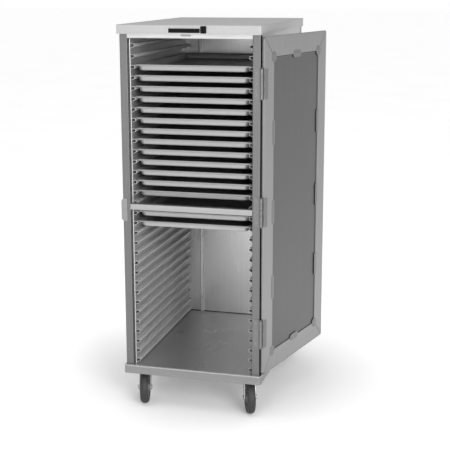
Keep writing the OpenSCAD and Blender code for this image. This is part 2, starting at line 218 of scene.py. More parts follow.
def rivet(radius=3.2, height=1.1):
    """A domed blind rivet with the small hole of its stem, seated on z = 0."""
    return lathe([(0, -0.6), (radius * 0.96, -0.6), (radius, 0), (radius * 0.93, height * 0.4),
                  (radius * 0.72, height * 0.8), (radius * 0.42, height), (radius * 0.3, height),
                  (radius * 0.22, height * 0.55), (0, height * 0.5)], 20)


def screw_head(radius, height, crown=0.25):
    """A screw head with a cross recess, seated on z = 0. Each of its eight sectors is
    alternately a recess arm and a plain quarter."""
    bm = bmesh.new()
    arm, depth, steps = radius * 0.13, min(0.8, height * 0.75), 5
    long_arm = radius * 0.62
    rim_top = height - crown
    outline, hollow = [], []
    for q in range(4):
        spin = Matrix.Rotation(q * math.pi / 2, 3, "Z")
        for x, y in ((long_arm, -arm), (long_arm, arm)):
            hollow.append(spin @ Vector((x, y, 0)))
        hollow.append(spin @ Vector((arm, arm, 0)))
    total = 12 * steps
    for i in range(total):
        a = 2 * math.pi * (i / total) - math.atan2(arm, long_arm)
        outline.append(Vector((math.cos(a), math.sin(a), 0)))
    inner = []
    for i in range(12):
        p, n = hollow[i], hollow[(i + 1) % 12]
        for s in range(steps):
            inner.append(p.lerp(n, s / steps))
    rows = [(outline, radius * 0.94, -0.6), (outline, radius, 0), (outline, radius, rim_top * 0.6),
            (outline, radius * 0.93, rim_top), (outline, radius * 0.78, height - crown * 0.3)]
    rings = [[bm.verts.new((p.x * r, p.y * r, z)) for p in o] for o, r, z in rows]
    rings.append([bm.verts.new((p.x, p.y, height)) for p in inner])
    rings.append([bm.verts.new((p.x * 0.8, p.y * 0.8, height - depth)) for p in inner])
    for a, b in zip(rings, rings[1:]):
        for i in range(total):
            j = (i + 1) % total
            bm.faces.new((a[i], a[j], b[j], b[i]))
    bm.faces.new(rings[0][::-1])
    bm.faces.new(rings[-1])
    bmesh.ops.recalc_face_normals(bm, faces=bm.faces)
    return bm


# ---- materials ----

def node_tree(name):
    material = bpy.data.materials.new(name)
    material.use_nodes = True
    tree = material.node_tree
    return material, tree, tree.nodes["Principled BSDF"]


def noise(tree, stretch, detail=4.0, roughness=0.6, turn=(0, 0, 0), distortion=0.0):
    """Noise in the object's own metres; stretch is how many cells there are to a metre each way."""
    place = tree.nodes.new("ShaderNodeTexCoord")
    mapping = tree.nodes.new("ShaderNodeMapping")
    mapping.inputs["Scale"].default_value = stretch
    mapping.inputs["Rotation"].default_value = turn
    texture = tree.nodes.new("ShaderNodeTexNoise")
    texture.inputs["Scale"].default_value = 1.0
    texture.inputs["Detail"].default_value = detail
    texture.inputs["Roughness"].default_value = roughness
    texture.inputs["Distortion"].default_value = distortion
    tree.links.new(place.outputs["Object"], mapping.inputs["Vector"])
    tree.links.new(mapping.outputs["Vector"], texture.inputs["Vector"])
    return texture.outputs["Fac"]


def spread(tree, value, low, high, start=0.3, end=0.7):
    """Maps a value from start...end to low...high."""
    node = tree.nodes.new("ShaderNodeMapRange")
    for key, number in (("From Min", start), ("From Max", end), ("To Min", low), ("To Max", high)):
        node.inputs[key].default_value = number
    tree.links.new(value, node.inputs["Value"])
    return node.outputs["Result"]


def combine(tree, operation, a, b):
    node = tree.nodes.new("ShaderNodeMath")
    node.operation = operation
    tree.links.new(a, node.inputs[0])
    tree.links.new(b, node.inputs[1])
    return node.outputs[0]


def grey(tree, value, shade, tint=(1.0, 1.0, 1.0), low=0.86, high=1.12):
    """A colour ramp round one shade, driven by a value between 0 and 1."""
    ramp = tree.nodes.new("ShaderNodeValToRGB")
    stops = ramp.color_ramp.elements
    for stop, factor in ((stops[0], low), (stops[1], high)):
        stop.color = (*[min(1.0, shade * factor * t) for t in tint], 1)
    tree.links.new(value, ramp.inputs["Fac"])
    return ramp.outputs["Color"]


GRAIN = {"x": (5, 700, 700), "y": (700, 5, 700), "z": (700, 700, 5)}
SCRATCH = (0.66, 0.72)       # the narrow top of the noise that shows as a scratch
BUMP_SIZE = 0.0006           # metres
STREAK = {"x": (1.2, 110, 110), "y": (110, 1.2, 110), "z": (110, 110, 1.2)}


def metal(name, shade, rough, grain="z", tint=(1.0, 1.0, 1.0), brush=0.05, cloudy=0.5, wear=0.0,
          polish=0.85):
    """Rolled or brushed metal: fine grain and broader streaks one way, soft clouding from
    handling, and faint scratches where wear is above 0. Polish is how mirror-like it is."""
    material, tree, shader = node_tree(name)
    fine = noise(tree, GRAIN[grain], 3.0, 0.65)
    streak = noise(tree, STREAK[grain], 4.0, 0.6)
    cloud = noise(tree, (6, 6, 6), 5.0, 0.62, distortion=0.4)
    tone = combine(tree, "ADD", spread(tree, streak, 0.0, 0.4), spread(tree, cloud, 0.0, 0.8 * cloudy))
    if wear:
        one_way = noise(tree, (9, 520, 260), 2.0, 0.5, (0, 0.2, 0.7))
        one_way = spread(tree, one_way, 0, wear, *SCRATCH)
        other_way = noise(tree, (420, 7, 300), 2.0, 0.5, (0.3, 0, -0.5))
        other_way = spread(tree, other_way, 0, wear, *SCRATCH)
        tone = combine(tree, "ADD", tone, combine(tree, "MAXIMUM", one_way, other_way))
    tree.links.new(grey(tree, tone, shade, tint, 0.93, 1.08), shader.inputs["Base Color"])
    matte = combine(tree, "ADD", spread(tree, cloud, rough - 0.04, rough + 0.05),
                    spread(tree, fine, -0.03, 0.04))
    tree.links.new(matte, shader.inputs["Roughness"])
    relief = combine(tree, "ADD", fine, spread(tree, streak, 0.0, 0.4, 0, 1))
    bump = tree.nodes.new("ShaderNodeBump")
    bump.inputs["Strength"].default_value = brush
    bump.inputs["Distance"].default_value = BUMP_SIZE
    height = combine(tree, "ADD", relief, spread(tree, cloud, 0.0, 2.0 * cloudy, 0, 1))
    tree.links.new(height, bump.inputs["Height"])
    tree.links.new(bump.outputs["Normal"], shader.inputs["Normal"])
    shader.inputs["Metallic"].default_value = polish
    return material


def plain(name, colour, rough, cells, bump_size, metallic=0.0, strength=0.3, specular=0.5):
    """A grained, non-directional surface such as rubber, paint or glass wool."""
    material, tree, shader = node_tree(name)
    grain = noise(tree, (cells,) * 3, 5.0, 0.6)
    dust = noise(tree, (14, 14, 14), 4.0, 0.6, distortion=0.5)
    tone = combine(tree, "ADD", spread(tree, grain, 0.0, 0.5), spread(tree, dust, 0.0, 0.5))
    tree.links.new(grey(tree, tone, 1.0, colour), shader.inputs["Base Color"])
    tree.links.new(spread(tree, dust, rough - 0.07, rough + 0.08), shader.inputs["Roughness"])
    bump = tree.nodes.new("ShaderNodeBump")
    bump.inputs["Strength"].default_value = strength
    bump.inputs["Distance"].default_value = bump_size
    tree.links.new(grain, bump.inputs["Height"])
    tree.links.new(bump.outputs["Normal"], shader.inputs["Normal"])
    shader.inputs["Metallic"].default_value = metallic
    shader.inputs["Specular IOR Level"].default_value = specular
    return material


COVER = metal("cover aluminium", 0.47, 0.46, "y", brush=0.04, cloudy=0.35)
BASE = metal("base aluminium", 0.27, 0.34, "x", brush=0.06)
DECK = metal("deck aluminium", 0.54, 0.30, "y", brush=0.004, cloudy=0.6, wear=0.18, polish=0.85)
FRAME = metal("frame aluminium", 0.175, 0.42, "z", brush=0.08, cloudy=0.6)
RAIL = metal("rail aluminium", 0.50, 0.36, "x", brush=0.04, cloudy=0.3)
MID_RAIL = metal("mid rail aluminium", 0.38, 0.36, "x", brush=0.04, cloudy=0.3)
OUTER = metal("outer sheet", 0.47, 0.38, "z", brush=0.05, cloudy=0.5, wear=0.1)
LINER = metal("liner sheet", 0.52, 0.38, "z", brush=0.05, cloudy=0.5, wear=0.12, polish=0.65)
BACK = metal("back liner sheet", 0.56, 0.30, "z", brush=0.004, cloudy=0.5, wear=0.1, polish=0.8)
# A lighter copy of the sheet aluminium for rolled edges: a painted highlight
EDGE_PAINTED_HIGHLIGHT = metal("edge with painted highlight", 0.62, 0.36, "z", brush=0.04, cloudy=0.3, polish=0.5)
# Much lighter than the back sheet it stands on: a painted highlight
BATTEN_PAINTED_HIGHLIGHT = metal("batten aluminium, painted highlight", 0.85, 0.30, "z", brush=0.02, cloudy=0.3, polish=0.6)
LEDGE = metal("pressed ledge", 0.60, 0.44, "y", brush=0.05, cloudy=0.4, polish=0.35)
DOOR_SHEET = metal("door sheet", 0.30, 0.40, "z", brush=0.06, cloudy=0.6)
PANEL = metal("door inner panel", 0.115, 0.34, "z", brush=0.015, cloudy=0.8)
# Darker than the door sheet: painted shade standing in for the shadow line round each clip
CLIP_PAINTED_SHADE = metal("clip steel, painted shade", 0.21, 0.38, "z", brush=0.04)
HARDWARE = metal("hardware steel", 0.26, 0.34, "z", brush=0.03)
HINGE = metal("hinge steel", 0.20, 0.44, "z", brush=0.05)
STRIKE = metal("strike steel", 0.28, 0.32, "z", brush=0.03)
ZINC = metal("zinc-plated caster steel", 0.42, 0.32, "z", (1.0, 1.0, 0.99), 0.05, 1.0)
PAN = metal("pan aluminium", 0.39, 0.38, "x", brush=0.16, cloudy=0.6, wear=0.2, polish=0.65)
HUB = plain("hub nylon", (0.16, 0.16, 0.16), 0.5, 260, 0.0002)
TYRE = plain("tyre rubber", (0.028, 0.028, 0.028), 0.62, 420, 0.0003)
BLACK = plain("black enamel", (0.004, 0.004, 0.004), 0.42, 500, 0.0001, strength=0.1, specular=0.1)
# Black put where there is only shade: painted shadow
PAINTED_SHADOW_BLACK = plain("painted shadow black", (0.003, 0.003, 0.003), 0.7, 500, 0.0002, strength=0.2, specular=0.05)
BORDER = metal("plate edging", 0.55, 0.36, "x", brush=0.03, cloudy=0.3, polish=0.6)
WOOL = plain("glass wool", (0.62, 0.52, 0.25), 0.9, 180, 0.002, strength=0.8, specular=0.2)

# ---- pieces ----

NODE_BODY = {n: b for b, members in frame["record"]["behaviour"]["bodies"].items() for n in members}


def piece(nodes, material, shapes, place=CABINET, crease=38.0, name=None):
    """Joins shapes drawn in a frame's millimetres into one object that stands for CAD nodes of one body."""
    nodes = [nodes] if isinstance(nodes, str) else nodes
    whole = bmesh.new()
    for shape in shapes:
        part = bpy.data.meshes.new("part")
        shape.to_mesh(part)
        shape.free()
        whole.from_mesh(part)
        bpy.data.meshes.remove(part)
    bmesh.ops.transform(whole, matrix=place, verts=whole.verts)
    for face in whole.faces:
        face.smooth = True
    for edge in whole.edges:
        edge.smooth = edge.calc_face_angle(0.0) < math.radians(crease)
    name = name or nodes[0] + "_detail"
    mesh = bpy.data.meshes.new(name)
    whole.to_mesh(mesh)
    whole.free()
    mesh.materials.append(material)
    made = bpy.data.objects.new(name, mesh)
    bpy.context.scene.collection.objects.link(made)
    weighted = made.modifiers.new("weighted", "WEIGHTED_NORMAL")
    weighted.keep_sharp = True
    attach(made, NODE_BODY[nodes[0]])
    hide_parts(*nodes)


# ---- base rim and deck ----

rim_low, rim_high = box_in("base_rim", CABINET)
deck_low, deck_high = box_in("deck", CABINET)
BASE_R, BASE_STEPS = 14, 8
DECK_INSET = 7.4
lip_z = deck_high.z
under = rim_low.z
top_flange = deck_low.z
rim_section = [(1.6, under), (0.5, under + 0.5), (0, under + 1.8), (0.7, under + 4.2), (0.7, lip_z - 9.6),
               (0.1, lip_z - 7.8), (0, lip_z - 4.0), (0.5, lip_z - 1.8), (1.8, lip_z - 1.3), (3.6, lip_z - 1.2),
               (5.4, lip_z - 1.3), (6.5, lip_z - 1.9), (6.8, top_flange - 0.1), (25, top_flange - 0.1),
               (25, top_flange - 2), (2, top_flange - 2), (2, under + 2), (24.5, under + 2), (25, under + 1),
               (24.5, under)]
piece("base_rim", BASE, [
    round_the_edge(rim_section, rim_low.x, rim_high.x, rim_low.y, rim_high.y, BASE_R, steps=BASE_STEPS)])

# The rolled edge along the top of the rim, much lighter than the rim's own aluminium: a painted highlight
lip_section = [(0.3, lip_z - 2.6), (0.7, lip_z - 1.3), (1.8, lip_z - 0.4), (3.4, lip_z), (5.0, lip_z - 0.3),
               (6.2, lip_z - 1.2), (6.6, lip_z - 2.6), (3.4, lip_z - 3.0)]
piece("base_rim", EDGE_PAINTED_HIGHLIGHT, [
    round_the_edge(lip_section, rim_low.x, rim_high.x, rim_low.y, rim_high.y, BASE_R, steps=BASE_STEPS)],
      name="base_lip_painted_highlight")

deck_section = [(DECK_INSET + 0.3, top_flange), (DECK_INSET, top_flange + 0.4), (DECK_INSET, lip_z - 0.6),
                (DECK_INSET + 0.6, lip_z)]
piece("deck", DECK, [
    round_the_edge(deck_section, deck_low.x, deck_high.x, deck_low.y, deck_high.y, BASE_R,
                   steps=BASE_STEPS, closed=False)])

# ---- posts and rails ----

POST_T, POST_R = 2, 2.6                     # wall and corner radius of the square tube
RAIL_T, RAIL_R = 2, 2.4
WELD_PITCH, WELD_R = 2.2, 1.5
WELD_ARC = (-20, 20, 60, 100, 150, 230)     # degrees round the bead, from level and outwards


def weld(start, end, z):
    """A rippled bead of weld from one point to another."""
    (ax, ay), (bx, by) = start, end
    length = math.hypot(bx - ax, by - ay)
    nx, ny = (by - ay) / length, -(bx - ax) / length
    rings = []
    count = int(length / WELD_PITCH)
    for i in range(count + 1):
        s = i / count
        fat = WELD_R + 0.5 * math.sin(i * 2.4) + random.uniform(-0.15, 0.15)
        cx, cy = ax + (bx - ax) * s, ay + (by - ay) * s
        rings.append([(cx + nx * fat * math.cos(a), cy + ny * fat * math.cos(a), z + fat * math.sin(a))
                      for a in map(math.radians, WELD_ARC)])
    return loft(rings)


for corner in CORNERS:
    low, high = box_in("post_" + corner, CABINET)
    section = [(0, low.z), (0, high.z), (POST_T, high.z), (POST_T, low.z)]
    shapes = [round_the_edge(section, low.x, high.x, low.y, high.y, POST_R, steps=5)]
    # The weld that joins the post's foot to the deck
    foot = [(low.x + 0.6, low.y + 0.6), (high.x - 0.6, low.y + 0.6),
            (high.x - 0.6, high.y - 0.6), (low.x + 0.6, high.y - 0.6)]
    shapes += [weld(start, end, low.z) for start, end in zip(foot, foot[1:] + foot[:1])]
    piece("post_" + corner, FRAME, shapes)


def channel(node, material):
    """A rail folded from sheet into a channel with round bends, open at the back."""
    low, high = box_in(node, CABINET)
    t, r = RAIL_T, RAIL_R
    outer = [(high.y, low.z), (low.y + r, low.z), (low.y + r * 0.3, low.z + r * 0.3), (low.y, low.z + r),
             (low.y, high.z - r), (low.y + r * 0.3, high.z - r * 0.3), (low.y + r, high.z), (high.y, high.z)]
    inner = [(high.y, high.z - t), (low.y + t, high.z - t), (low.y + t, low.z + t), (high.y, low.z + t)]
    piece(node, material, [prism(outer + inner, low.x, high.x, "x", 0.3, 1)])


channel("header_rail", RAIL)
channel("mid_rail", MID_RAIL)

# ---- cover ----

SHEET = 1.2                                 # thickness of the cover, skins, liners, pans and door sheet
HEM = 7                                     # height of the cover's folded lower edge
low, high = box_in("top_cover", CABINET)
skirt = low
cover_section = [(2.8, high.z), (1.5, high.z - 0.3), (0.6, high.z - 1.1), (0.2, high.z - 2.4),
                 (0.5, low.z + HEM + 0.9), (0.1, low.z + HEM), (0, low.z + 1.3), (0.5, low.z + 0.3), (1.3, low.z),
                 (2.3, low.z + 0.3), (2.8, low.z + 1.3), (2.8, low.z + HEM), (1.8, low.z + HEM + 0.6),
                 (1.5, high.z - 3.4), (1.9, high.z - 2.0), (2.9, high.z - SHEET)]
piece("top_cover", COVER, [
    round_the_edge(cover_section, low.x, high.x, low.y, high.y, 2.4, steps=4, closed=False)])

# ---- outer skins, with the rivets that hold their folded edges ----

SIDES = (("left", False), ("right", True))
cover_foot = cover_low.z / MM
UPRIGHT_PITCH, SIDE_PITCH, BACK_PITCH = 155, 135, 125
RIVETS_FROM, RIVETS_TO = 30, 25             # above a skin's foot, and below the cover
ROW_UP = 12                                 # height of the lowest row above a skin's foot


def rivet_row(start, end, pitch, facing):
    """Rivets evenly along a line, from one point to another."""
    length = (Vector(end) - Vector(start)).length
    count = max(2, round(length / pitch) + 1)
    return [moved(rivet(), at(*Vector(start).lerp(Vector(end), i / (count - 1)), facing, random.uniform(0, 6)))
            for i in range(count)]


for side, flip in SIDES:
    low, high = box_in("side_skin_" + side, CABINET)
    x = high.x if flip else low.x
    inner = x - SHEET if flip else x + SHEET
    piece("side_skin_" + side, OUTER, [
        block((min(x, inner), low.y + 0.4, low.z), (max(x, inner), high.y - 0.4, high.z), 0.5, 2)])
    way = "x" if flip else "-x"
    shapes = []
    for y in (low.y + 11, high.y - 11):
        shapes += rivet_row((x, y, low.z + RIVETS_FROM), (x, y, cover_foot - RIVETS_TO), UPRIGHT_PITCH, way)
    shapes += rivet_row((x, low.y + 90, low.z + ROW_UP), (x, high.y - 90, low.z + ROW_UP), SIDE_PITCH, way)
    piece("side_skin_" + side, HARDWARE, shapes, name="side_rivets_" + side)

low, high = box_in("back_skin", CABINET)
piece("back_skin", OUTER, [block((low.x + 0.2, low.y, low.z), (high.x - 0.2, high.y, high.z), 0.5, 2)])
shapes = []
for x in (low.x + 15, high.x - 15):
    shapes += rivet_row((x, high.y, low.z + RIVETS_FROM), (x, high.y, cover_foot - RIVETS_TO), UPRIGHT_PITCH, "y")
shapes += rivet_row((low.x + 95, high.y, low.z + ROW_UP), (high.x - 95, high.y, low.z + ROW_UP), BACK_PITCH, "y")
piece("back_skin", HARDWARE, shapes, name="back_rivets")

# ---- liners and ledges ----

low, high = box_in("side_liner_left", CABINET)
liner_in = high.x
post_in = box_in("post_front_left", CABINET)[1].x
mid_low, mid_high = box_in("mid_rail", CABINET)
for side, flip in SIDES:
    shapes = [block((liner_in - SHEET, low.y, low.z), (liner_in, high.y, high.z), 0.3, 1),
              block((low.x, low.y, low.z), (liner_in - SHEET, low.y + SHEET, high.z), 0.2, 1)]
    piece("side_liner_" + side, LINER, sided(shapes, flip))
    # The sheet's front edge turns round into a bead beside the post, above and below the mid rail, in a lighter
    # colour than the sheet: a painted highlight
    shapes = [prism(rounded(post_in + 0.1, liner_in + 1.6, low.y - 5.6, low.y - 0.2, 2.2, 5), z0, z1, "z", 0.2, 1)
              for z0, z1 in ((low.z, mid_low.z - 0.4), (mid_high.z + 0.4, high.z - 0.4))]
    piece("side_liner_" + side, EDGE_PAINTED_HIGHLIGHT, sided(shapes, flip), name="liner_trim_" + side)

BATTEN_X = -168
low, high = box_in("back_liner", CABINET)
batten_y = low.y
sheet_y = high.y - SHEET
# Half of the batten's section, from its foot on the sheet to its flat front
batten = [(10, sheet_y + 0.5), (9.4, sheet_y - 0.3), (7.2, sheet_y - 1.2), (5.6, batten_y + 1.2), (3.6, batten_y)]
outline = [(BATTEN_X - a, y) for a, y in batten] + [(BATTEN_X + a, y) for a, y in reversed(batten)]
# The batten's light colour is a painted highlight on its facets
piece("back_liner", BATTEN_PAINTED_HIGHLIGHT, [prism(outline, low.z + 0.5, high.z - 1.5, "z", 0.2, 1)], name="liner_batten")
piece("back_liner", BACK, [block((low.x, sheet_y, low.z), (high.x, high.y, high.z), 0.3, 1)])
# A black strip along the corner where the back meets the deck: painted shade in the crease
seam = [(sheet_y + 0.2, low.z), (sheet_y - 2.4, low.z), (sheet_y - 1.8, low.z + 1.4),
        (sheet_y - 0.6, low.z + 2.4), (sheet_y + 0.2, low.z + 2.8)]
piece("back_liner", PAINTED_SHADOW_BLACK, [prism(seam, liner_in + 0.3, -liner_in - 0.3, "x", 0, 1)], name="back_corner_painted_shade")

low, high = box_in("ceiling_panel", CABINET)
piece("ceiling_panel", LINER, [block(low, high, 0.3, 1)])

ledge_low, ledge_high = box_in("pan_slides_left", CABINET)
LEDGE_COUNT, LEDGE_PITCH = 32, 39.7
# A ledge's sheet in section, out along its outer face and back along its inner one
LEDGE_SHAPE = ((0, 0), (11.6, 0), (13.6, -0.35), (14.7, -1.4), (15.0, -3.0), (15.0, -8.0), (14.6, -9.6),
               (13.2, -10.8), (9.0, -12.5), (4.6, -14.2), (1.4, -15.4), (0, -16.0), (0, -14.7), (4.2, -13.0),
               (8.6, -11.3), (12.6, -9.8), (13.5, -9.0), (13.8, -8.0), (13.8, -3.0), (13.4, -2.0),
               (12.6, -1.4), (11.6, -1.2), (0, -1.2))


def ledge(z):
    """One ledge of bent sheet: flat on top, with an upright face and a slope back to the wall."""
    outline = [(ledge_low.x + px, z + pz) for px, pz in LEDGE_SHAPE]
    return prism(outline, ledge_low.y, ledge_high.y, "y", 0)


for side, flip in SIDES:
    shapes = [ledge(ledge_high.z - i * LEDGE_PITCH) for i in range(LEDGE_COUNT)]
    piece("pan_slides_" + side, LEDGE, sided(shapes, flip), crease=50)

# ---- pans ----

PAN_COUNT = 15


def pan_shape(low, high):
    """A pressed pan: a wired rim, a flange, sloped walls with round corners, and a flat floor."""
    top, bottom = high.z, low.z
    section = [(24, bottom), (21.2, bottom + 0.15), (19.2, bottom + 0.9), (17.9, bottom + 2.2), (17.0, bottom + 4.2),
               (13.6, top - 6.4), (12.6, top - 4.4), (10.9, top - 3.4), (6.6, top - 3.2), (5.6, top - 4.8),
               (4.2, top - 5.9), (2.4, top - 6.1), (0.9, top - 5.2), (0, top - 3.2), (0.5, top - 1.3),
               (1.8, top - 0.2), (3.2, top), (4.8, top - 0.5), (6.2, top - 1.6), (11.2, top - 1.8),
               (13.0, top - 2.7), (14.8, top - 5.2), (18.2, bottom + 4.6), (19.1, bottom + 2.9),
               (20.2, bottom + 2.0), (21.8, bottom + 1.35), (24.2, bottom + SHEET)]
    return round_the_edge(section, low.x, high.x, low.y, high.y, lambda inset: 18 + inset * 0.12,
                          steps=8, closed=False)


for i in range(1, PAN_COUNT + 1):
    name = f"pan_{i:02d}"
    low, high = box_in(name, CABINET)
    # Each pan sits a little differently on its ledges
    shift = Matrix.Translation((random.uniform(-0.9, 0.9), random.uniform(0, 1.6), 0))
    tilt = Matrix.Rotation(random.uniform(-0.0012, 0.0012), 4, "Z")
    middle = Matrix.Translation((low + high) / 2)
    piece(name, PAN, [moved(pan_shape(low, high), shift @ middle @ tilt @ middle.inverted())])

# ---- name plate, strike and screws on the cabinet ----

front, z0 = skirt.y, skirt.z
PLATE = (-73, 49, z0 + 4, z0 + 23)          # the blank plate's edges in x and z
piece("label_plate", BLACK, [
    prism(rounded(*PLATE, 2, 4), front - 1.9, front - 0.1, "y", 0.4, 2),
    prism(rounded(49.3, 71, z0 + 4, z0 + 30, 1.6, 4), front - 4, front - 0.1, "y", 0.7, 2)])
# A thin edging round the blank plate, with ribs on the block at its end
edging = [(0.0, front - 1.0), (0.0, front - 1.9), (0.3, front - 2), (1.3, front - 2), (1.5, front - 1.0)]
shapes = [round_the_edge(edging, *PLATE, 2, "y", 4)]
for x in (54, 60.2, 66.4):
    shapes.append(prism(rounded(x - 0.8, x + 0.8, z0 + 8, z0 + 26, 0.7, 4), front - 4, front - 3.2, "y", 0.2, 1))
piece("label_plate", BORDER, shapes, name="label_edging")
# The tab that hangs below the skirt
tab = [(-31, z0 + 2), (-31, z0 - 5), (-27, z0 - 8), (5, z0 - 8), (9, z0 - 5), (9, z0 + 2)]
piece("label_plate", HARDWARE, [prism(tab, -2, -0.05, "y", 0.4, 1)], name="label_tab")

low, high = box_in("latch_strike", CABINET)
strike_face = low.y
wing = low.x
plate = [(wing, low.z + 8), (wing + 8, low.z), (high.x - 2, low.z), (high.x, low.z + 2), (high.x, high.z - 2),
         (high.x - 2, high.z), (wing + 8, high.z), (wing, high.z - 8)]
post_x = box_in("post_front_left", CABINET)[0].x
shapes = [prism(plate, strike_face, -0.02, "y", 0.6, 2),
          block((wing, -0.4, low.z + 10), (post_x - 0.05, high.y, high.z - 10), 0.7, 2)]
piece("latch_strike", STRIKE, shapes)

STRIKE_X, LATCH_Z = -257, 787
HINGES = (335, 804, 1276)                   # heights of the hinges' middles
SCREWS = (-40, 0, 40)                       # and of each leaf's screws from there
FRAME_SCREW_X = 255
LEAF_T = 1.3


def leaf_screws(x, y, z, facing):
    """The three screws of one hinge leaf."""
    return [moved(screw_head(3.1, 0.5, 0.12), at(x, y, z + dz, facing, random.uniform(0, 1.5))) for dz in SCREWS]


shapes = [moved(screw_head(3.9, 0.7), at(STRIKE_X, strike_face + 0.45, LATCH_Z, "-y", 0.4))]
for z, turn in ((LATCH_Z + 75, 0.9), (LATCH_Z - 560, 0.2)):
    shapes.append(moved(screw_head(3.0, 1.35), at(STRIKE_X, 0.0, z, "-y", turn)))
for z in HINGES:
    shapes += leaf_screws(FRAME_SCREW_X, 0.35 - LEAF_T, z, "-y")
piece("cabinet_screws", HARDWARE, shapes)

# A black strip in the gap between the hinged post and the door: a painted shadow in the gap
low, high = box_in("post_front_right", CABINET)
piece("post_front_right", PAINTED_SHADOW_BLACK, [
    block((high.x + 0.05, 0.4, low.z + 1), (high.x + 4.2, 8.5, cover_foot - 1), 1.2, 2)],
      name="hinge_gap_painted_shadow")

# ---- hinges ----

HINGE_H, KNUCKLES, KNUCKLE_R, GAP = 110, 5, 5.5, 0.4
FRAME_EDGE, DOOR_EDGE = 5.8, 6.2            # from the pin to where each leaf's flat starts
px, py = hinge_at.x, hinge_at.y


def knuckles(z, first, reach, edge):
    """The rolled knuckles of one leaf and the tongues that lead to it."""
    step = HINGE_H / KNUCKLES
    made = []
    for i in range(first, KNUCKLES, 2):
        z0 = z - HINGE_H / 2 + i * step + GAP / 2
        z1 = z0 + step - GAP
        profile = [(2.7, 0), (5.0, 0), (5.4, 0.25), (5.5, 0.8), (5.5, step - GAP - 0.8),
                   (5.4, step - GAP - 0.25), (5.0, step - GAP), (2.7, step - GAP)]
        made.append(moved(lathe(profile, 28), at(px, py, z0)))
        made.append(block((px - edge, py, z0), (px - KNUCKLE_R + LEAF_T, py + reach, z1), 0.35, 2))
    return made


def leaf(z, outer, edge, y0, y1):
    """The flat of one leaf, from its outer edge to the knuckles."""
    return prism(rounded(outer, px - edge, z - HINGE_H / 2, z + HINGE_H / 2, 1.6, 4), y0, y1, "y", 0.3, 1)


leaf_x = box_in("hinge_frame_leaves", CABINET)[0].x
shapes = []
for z in HINGES:
    shapes += knuckles(z, 0, -py, FRAME_EDGE)
    shapes.append(leaf(z, leaf_x, FRAME_EDGE, -LEAF_T, -0.02))
piece("hinge_frame_leaves", HINGE, shapes)

leaf_x = box_in("hinge_door_leaves", DOOR)[0].x
door_low, door_high = box_in("door_skin", DOOR)
flange_y = door_high.y
shapes = []
for z in HINGES:
    shapes += knuckles(z, 1, flange_y + LEAF_T - py, DOOR_EDGE)
    shapes.append(leaf(z, leaf_x, DOOR_EDGE, flange_y + 0.02, flange_y + LEAF_T))
    shapes += leaf_screws(px - 15.2, flange_y + LEAF_T - 0.35, z, "y")
piece("hinge_door_leaves", HINGE, shapes, DOOR)

pin_cap = [(0, 0), (4.4, 0), (5.0, 0.5), (4.6, 1.3), (3.2, 1.85), (0, 2)]
shapes = []
for z in HINGES:
    shapes.append(moved(rod(2.5, z - HINGE_H / 2 - 1, z + HINGE_H / 2 + 1, 0.5, 20), at(px, py, 0)))
    shapes.append(moved(lathe(pin_cap, 24), at(px, py, z + HINGE_H / 2 + 1)))
piece("hinge_pins", HINGE, shapes, DOOR)

# ---- door ----

DOOR_R, FLANGE = 11, 75
IN_SKIN = 1.5                               # how far the flanges stand in from the skin's outside
MITRE = 1.2                                 # half of the gap at a mitre, along the flange
face_y = door_low.y
skin_section = [(4.5, face_y), (1.9, face_y + 0.35), (0.5, face_y + 1.4), (0, face_y + 3.2), (0, flange_y - 0.8),
                (0.3, flange_y - 0.15), (0.8, flange_y), (1.2, flange_y - 0.2), (1.3, flange_y - 1.7),
                (1.3, face_y + 3.4), (2.4, face_y + 1.6), (4.8, face_y + SHEET)]
piece("door_skin", DOOR_SHEET, [
    round_the_edge(skin_section, door_low.x, door_high.x, door_low.z, door_high.z, DOOR_R, "y", 6, closed=False)],
      DOOR)

# Four flanges, mitred at the corners. Each starts and ends half-way round a corner of the door
x0, x1, z0, z1 = door_low.x + IN_SKIN, door_high.x - IN_SKIN, door_low.z + IN_SKIN, door_high.z - IN_SKIN
flange_w, cut = FLANGE - IN_SKIN, DOOR_R - IN_SKIN
corner_in = [(cut * (1 - math.cos(math.radians(a))), cut * (1 - math.sin(math.radians(a)))) for a in (45, 60, 75, 90)]


def strip(length):
    """A flange along +X of a given length: its outer edge on y = 0, mitred at both ends."""
    left = [(a + MITRE, b) for a, b in corner_in]
    right = [(length - a, b) for a, b in reversed(left)]
    return left + right + [(length - flange_w - MITRE, flange_w), (flange_w + MITRE, flange_w)]


across, upright = strip(x1 - x0), strip(z1 - z0)
outlines = ([(x0 + a, z0 + b) for a, b in across], [(x0 + a, z1 - b) for a, b in across],
            [(x0 + b, z0 + a) for a, b in upright], [(x1 - b, z0 + a) for a, b in upright])
piece("door_frame", DOOR_SHEET, [prism(o, flange_y - 1.5, flange_y, "y", 0.35, 2) for o in outlines], DOOR)

PANEL_INSET = 8
panel_y = box_in("door_panel", DOOR)[1].y
seam = FLANGE + 1.2
panel_section = [(PANEL_INSET + 0.2, panel_y - 1.2), (PANEL_INSET, panel_y - 0.4), (PANEL_INSET + 0.4, panel_y),
                 (seam, panel_y), (seam + 0.8, panel_y + 0.9), (seam + 2.2, panel_y + 1.3),
                 (seam + 3.8, panel_y + 0.9), (seam + 5.2, panel_y)]
piece("door_panel", PANEL, [
    round_the_edge(panel_section, door_low.x, door_high.x, door_low.z, door_high.z, 6, "y", 3, closed=False)], DOOR)

SIDE_CLIP, CORNER_CLIP, END_CLIP = (20, 95), (40, 40), (70, 27)     # width and height
SIDE_CLIPS = (502, 795, 1093)               # heights of the clips on the long sides


